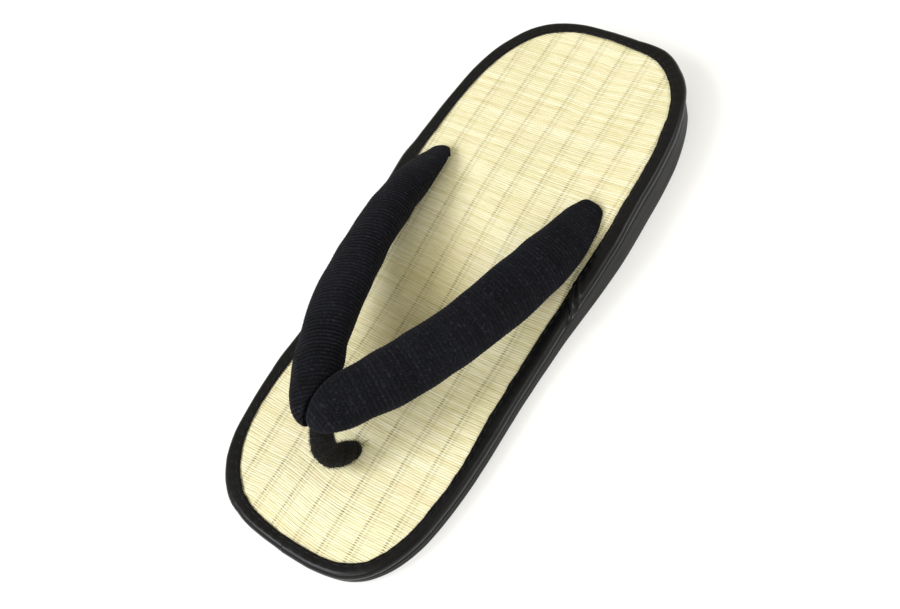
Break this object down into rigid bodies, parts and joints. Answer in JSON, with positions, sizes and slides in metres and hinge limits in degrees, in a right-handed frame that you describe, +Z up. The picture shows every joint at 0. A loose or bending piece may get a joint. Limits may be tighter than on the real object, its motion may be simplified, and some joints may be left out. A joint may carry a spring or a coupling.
{
  "type": "zori sandal",
  "caption": "Right-foot thong sandal with a woven rush insole bound in black tape, a black wedge sole, a padded V strap and a soft cord between the toes.",
  "frame": {"origin": "on the floor, under the middle of the sole's length and width", "axes": "+Z up, the toe towards -Y and the heel towards +Y, +X to the big toe's side, which is the wearer's left"},
  "size_m": [0.1106, 0.2664, 0.0493],
  "materials": {
    "sole": "black foam rubber, matte with a faint sheen on the side",
    "mat": "woven rush in straw cream with darker warp lines, satin",
    "binding": "black fine-ribbed tape, soft sheen",
    "strap": "blue-black ribbed cloth over padding, matte",
    "post": "black pile cord, fuzzy and matte"
  },
  "bodies": {
    "root": {"sole": "sole", "tatami_mat": "mat", "edge_binding": "binding", "strap": "strap", "toe_post": "post"}
  },
  "joints": []
}
